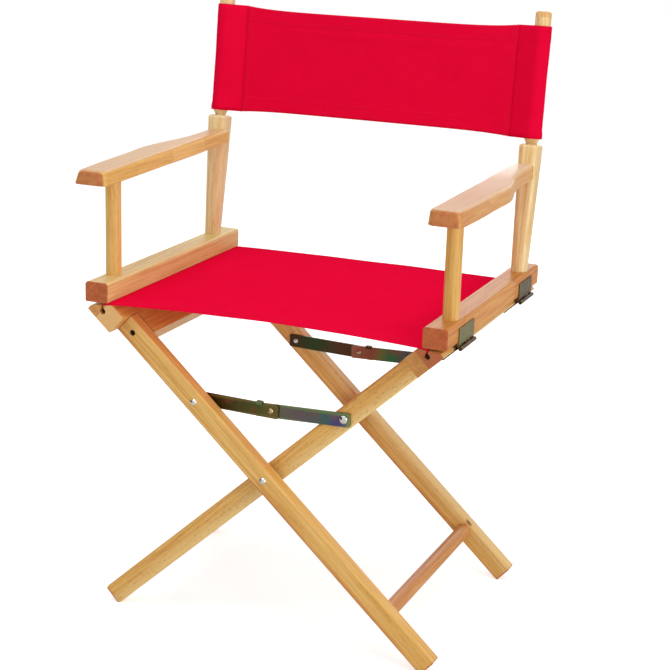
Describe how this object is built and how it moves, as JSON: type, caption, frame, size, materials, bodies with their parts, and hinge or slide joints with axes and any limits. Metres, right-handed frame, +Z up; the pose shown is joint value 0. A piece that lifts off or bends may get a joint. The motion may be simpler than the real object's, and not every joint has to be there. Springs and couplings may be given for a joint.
{
  "type": "folding chair",
  "caption": "Folding director's chair of lacquered hardwood, with crossed legs, flat armrests, a canvas seat and back, strap hinges and folding steel stays.",
  "frame": {"origin": "on the floor, below the middle of the open chair", "axes": "+X to the right seen from the front, +Y to the back, +Z up"},
  "size_m": [0.552, 0.4268, 0.8678],
  "materials": {
    "hardwood": "gloss",
    "canvas": "matte",
    "passivated_steel": "satin",
    "bright_steel": "satin",
    "washer_steel": "satin"
  },
  "bodies": {
    "left_arm": {"back_canvas": "canvas", "left_arm_back_post": "hardwood", "left_arm_back_sleeve": "canvas", "left_arm_front_post": "hardwood", "left_arm_hinge_leaves": "passivated_steel", "left_arm_hinge_pins": "passivated_steel", "left_arm_hinge_screws": "passivated_steel", "left_arm_rail": "hardwood", "left_arm_rest": "hardwood"},
    "left_frame": {"left_frame_back_leg": "hardwood", "left_frame_barrel_nuts": "bright_steel", "left_frame_canvas_rod": "bright_steel", "left_frame_connector_bolts": "bright_steel", "left_frame_front_leg": "hardwood", "left_frame_hinge_leaves": "passivated_steel", "left_frame_hinge_screws": "passivated_steel", "left_frame_seat_rail": "hardwood", "left_frame_stretcher": "hardwood", "pivot_nuts": "bright_steel", "pivot_screws": "bright_steel", "pivot_washers": "washer_steel", "seat_canvas": "canvas", "stay_leg_bolts": "bright_steel"},
    "right_frame": {"right_frame_back_leg": "hardwood", "right_frame_barrel_nuts": "bright_steel", "right_frame_canvas_rod": "bright_steel", "right_frame_connector_bolts": "bright_steel", "right_frame_front_leg": "hardwood", "right_frame_hinge_leaves": "passivated_steel", "right_frame_hinge_screws": "passivated_steel", "right_frame_seat_rail": "hardwood", "right_frame_stretcher": "hardwood"},
    "right_arm": {"right_arm_back_post": "hardwood", "right_arm_back_sleeve": "canvas", "right_arm_front_post": "hardwood", "right_arm_hinge_leaves": "passivated_steel", "right_arm_hinge_pins": "passivated_steel", "right_arm_hinge_screws": "passivated_steel", "right_arm_rail": "hardwood", "right_arm_rest": "hardwood"},
    "front_stay_left": {"front_stay_left_link": "passivated_steel", "front_stay_middle_rivet": "bright_steel"},
    "front_stay_right": {"front_stay_end_rivet": "bright_steel", "front_stay_right_link": "passivated_steel"},
    "back_stay_left": {"back_stay_left_link": "passivated_steel", "back_stay_middle_rivet": "bright_steel"},
    "back_stay_right": {"back_stay_end_rivet": "bright_steel", "back_stay_right_link": "passivated_steel"}
  },
  "joints": [
    {"name": "fold", "type": "hinge", "parent": "left_frame", "child": "right_frame", "pos_m": [0, 0, 0.24125], "axis": [0, -1, 0], "range_deg": [0, 78], "deforming": ["seat_canvas", "back_canvas"]},
    {"name": "left_arm_hinge", "type": "hinge", "parent": "left_arm", "child": "left_frame", "pos_m": [-0.2674, 0, 0.46146], "axis": [0, 1, 0], "range_deg": [0, 39]},
    {"name": "right_arm_hinge", "type": "hinge", "parent": "right_frame", "child": "right_arm", "pos_m": [0.2674, 0, 0.46146], "axis": [0, 1, 0], "range_deg": [0, 39]},
    {"name": "front_stay_leg_pivot", "type": "hinge", "parent": "left_frame", "child": "front_stay_left", "pos_m": [-0.10703, -0.1667, 0.33967], "axis": [0, -1, 0], "range_deg": [0, 119.27]},
    {"name": "front_stay_middle_pivot", "type": "hinge", "parent": "front_stay_left", "child": "front_stay_right", "pos_m": [0, -0.16555, 0.33647], "axis": [0, 1, 0], "range_deg": [0, 160.54]},
    {"name": "back_stay_leg_pivot", "type": "hinge", "parent": "left_frame", "child": "back_stay_left", "pos_m": [-0.10703, 0.1667, 0.33967], "axis": [0, -1, 0], "range_deg": [0, 119.27]},
    {"name": "back_stay_middle_pivot", "type": "hinge", "parent": "back_stay_left", "child": "back_stay_right", "pos_m": [0, 0.16555, 0.33647], "axis": [0, 1, 0], "range_deg": [0, 160.54]}
  ],
  "couplings": [
    {"joint": "left_arm_hinge", "follows": "fold", "ratio": 0.5},
    {"joint": "right_arm_hinge", "follows": "fold", "ratio": 0.5},
    {"joint": "front_stay_leg_pivot", "follows": "fold", "ratio": 1.5291},
    {"joint": "front_stay_middle_pivot", "follows": "fold", "ratio": 2.0582},
    {"joint": "back_stay_leg_pivot", "follows": "fold", "ratio": 1.5291},
    {"joint": "back_stay_middle_pivot", "follows": "fold", "ratio": 2.0582}
  ]
}
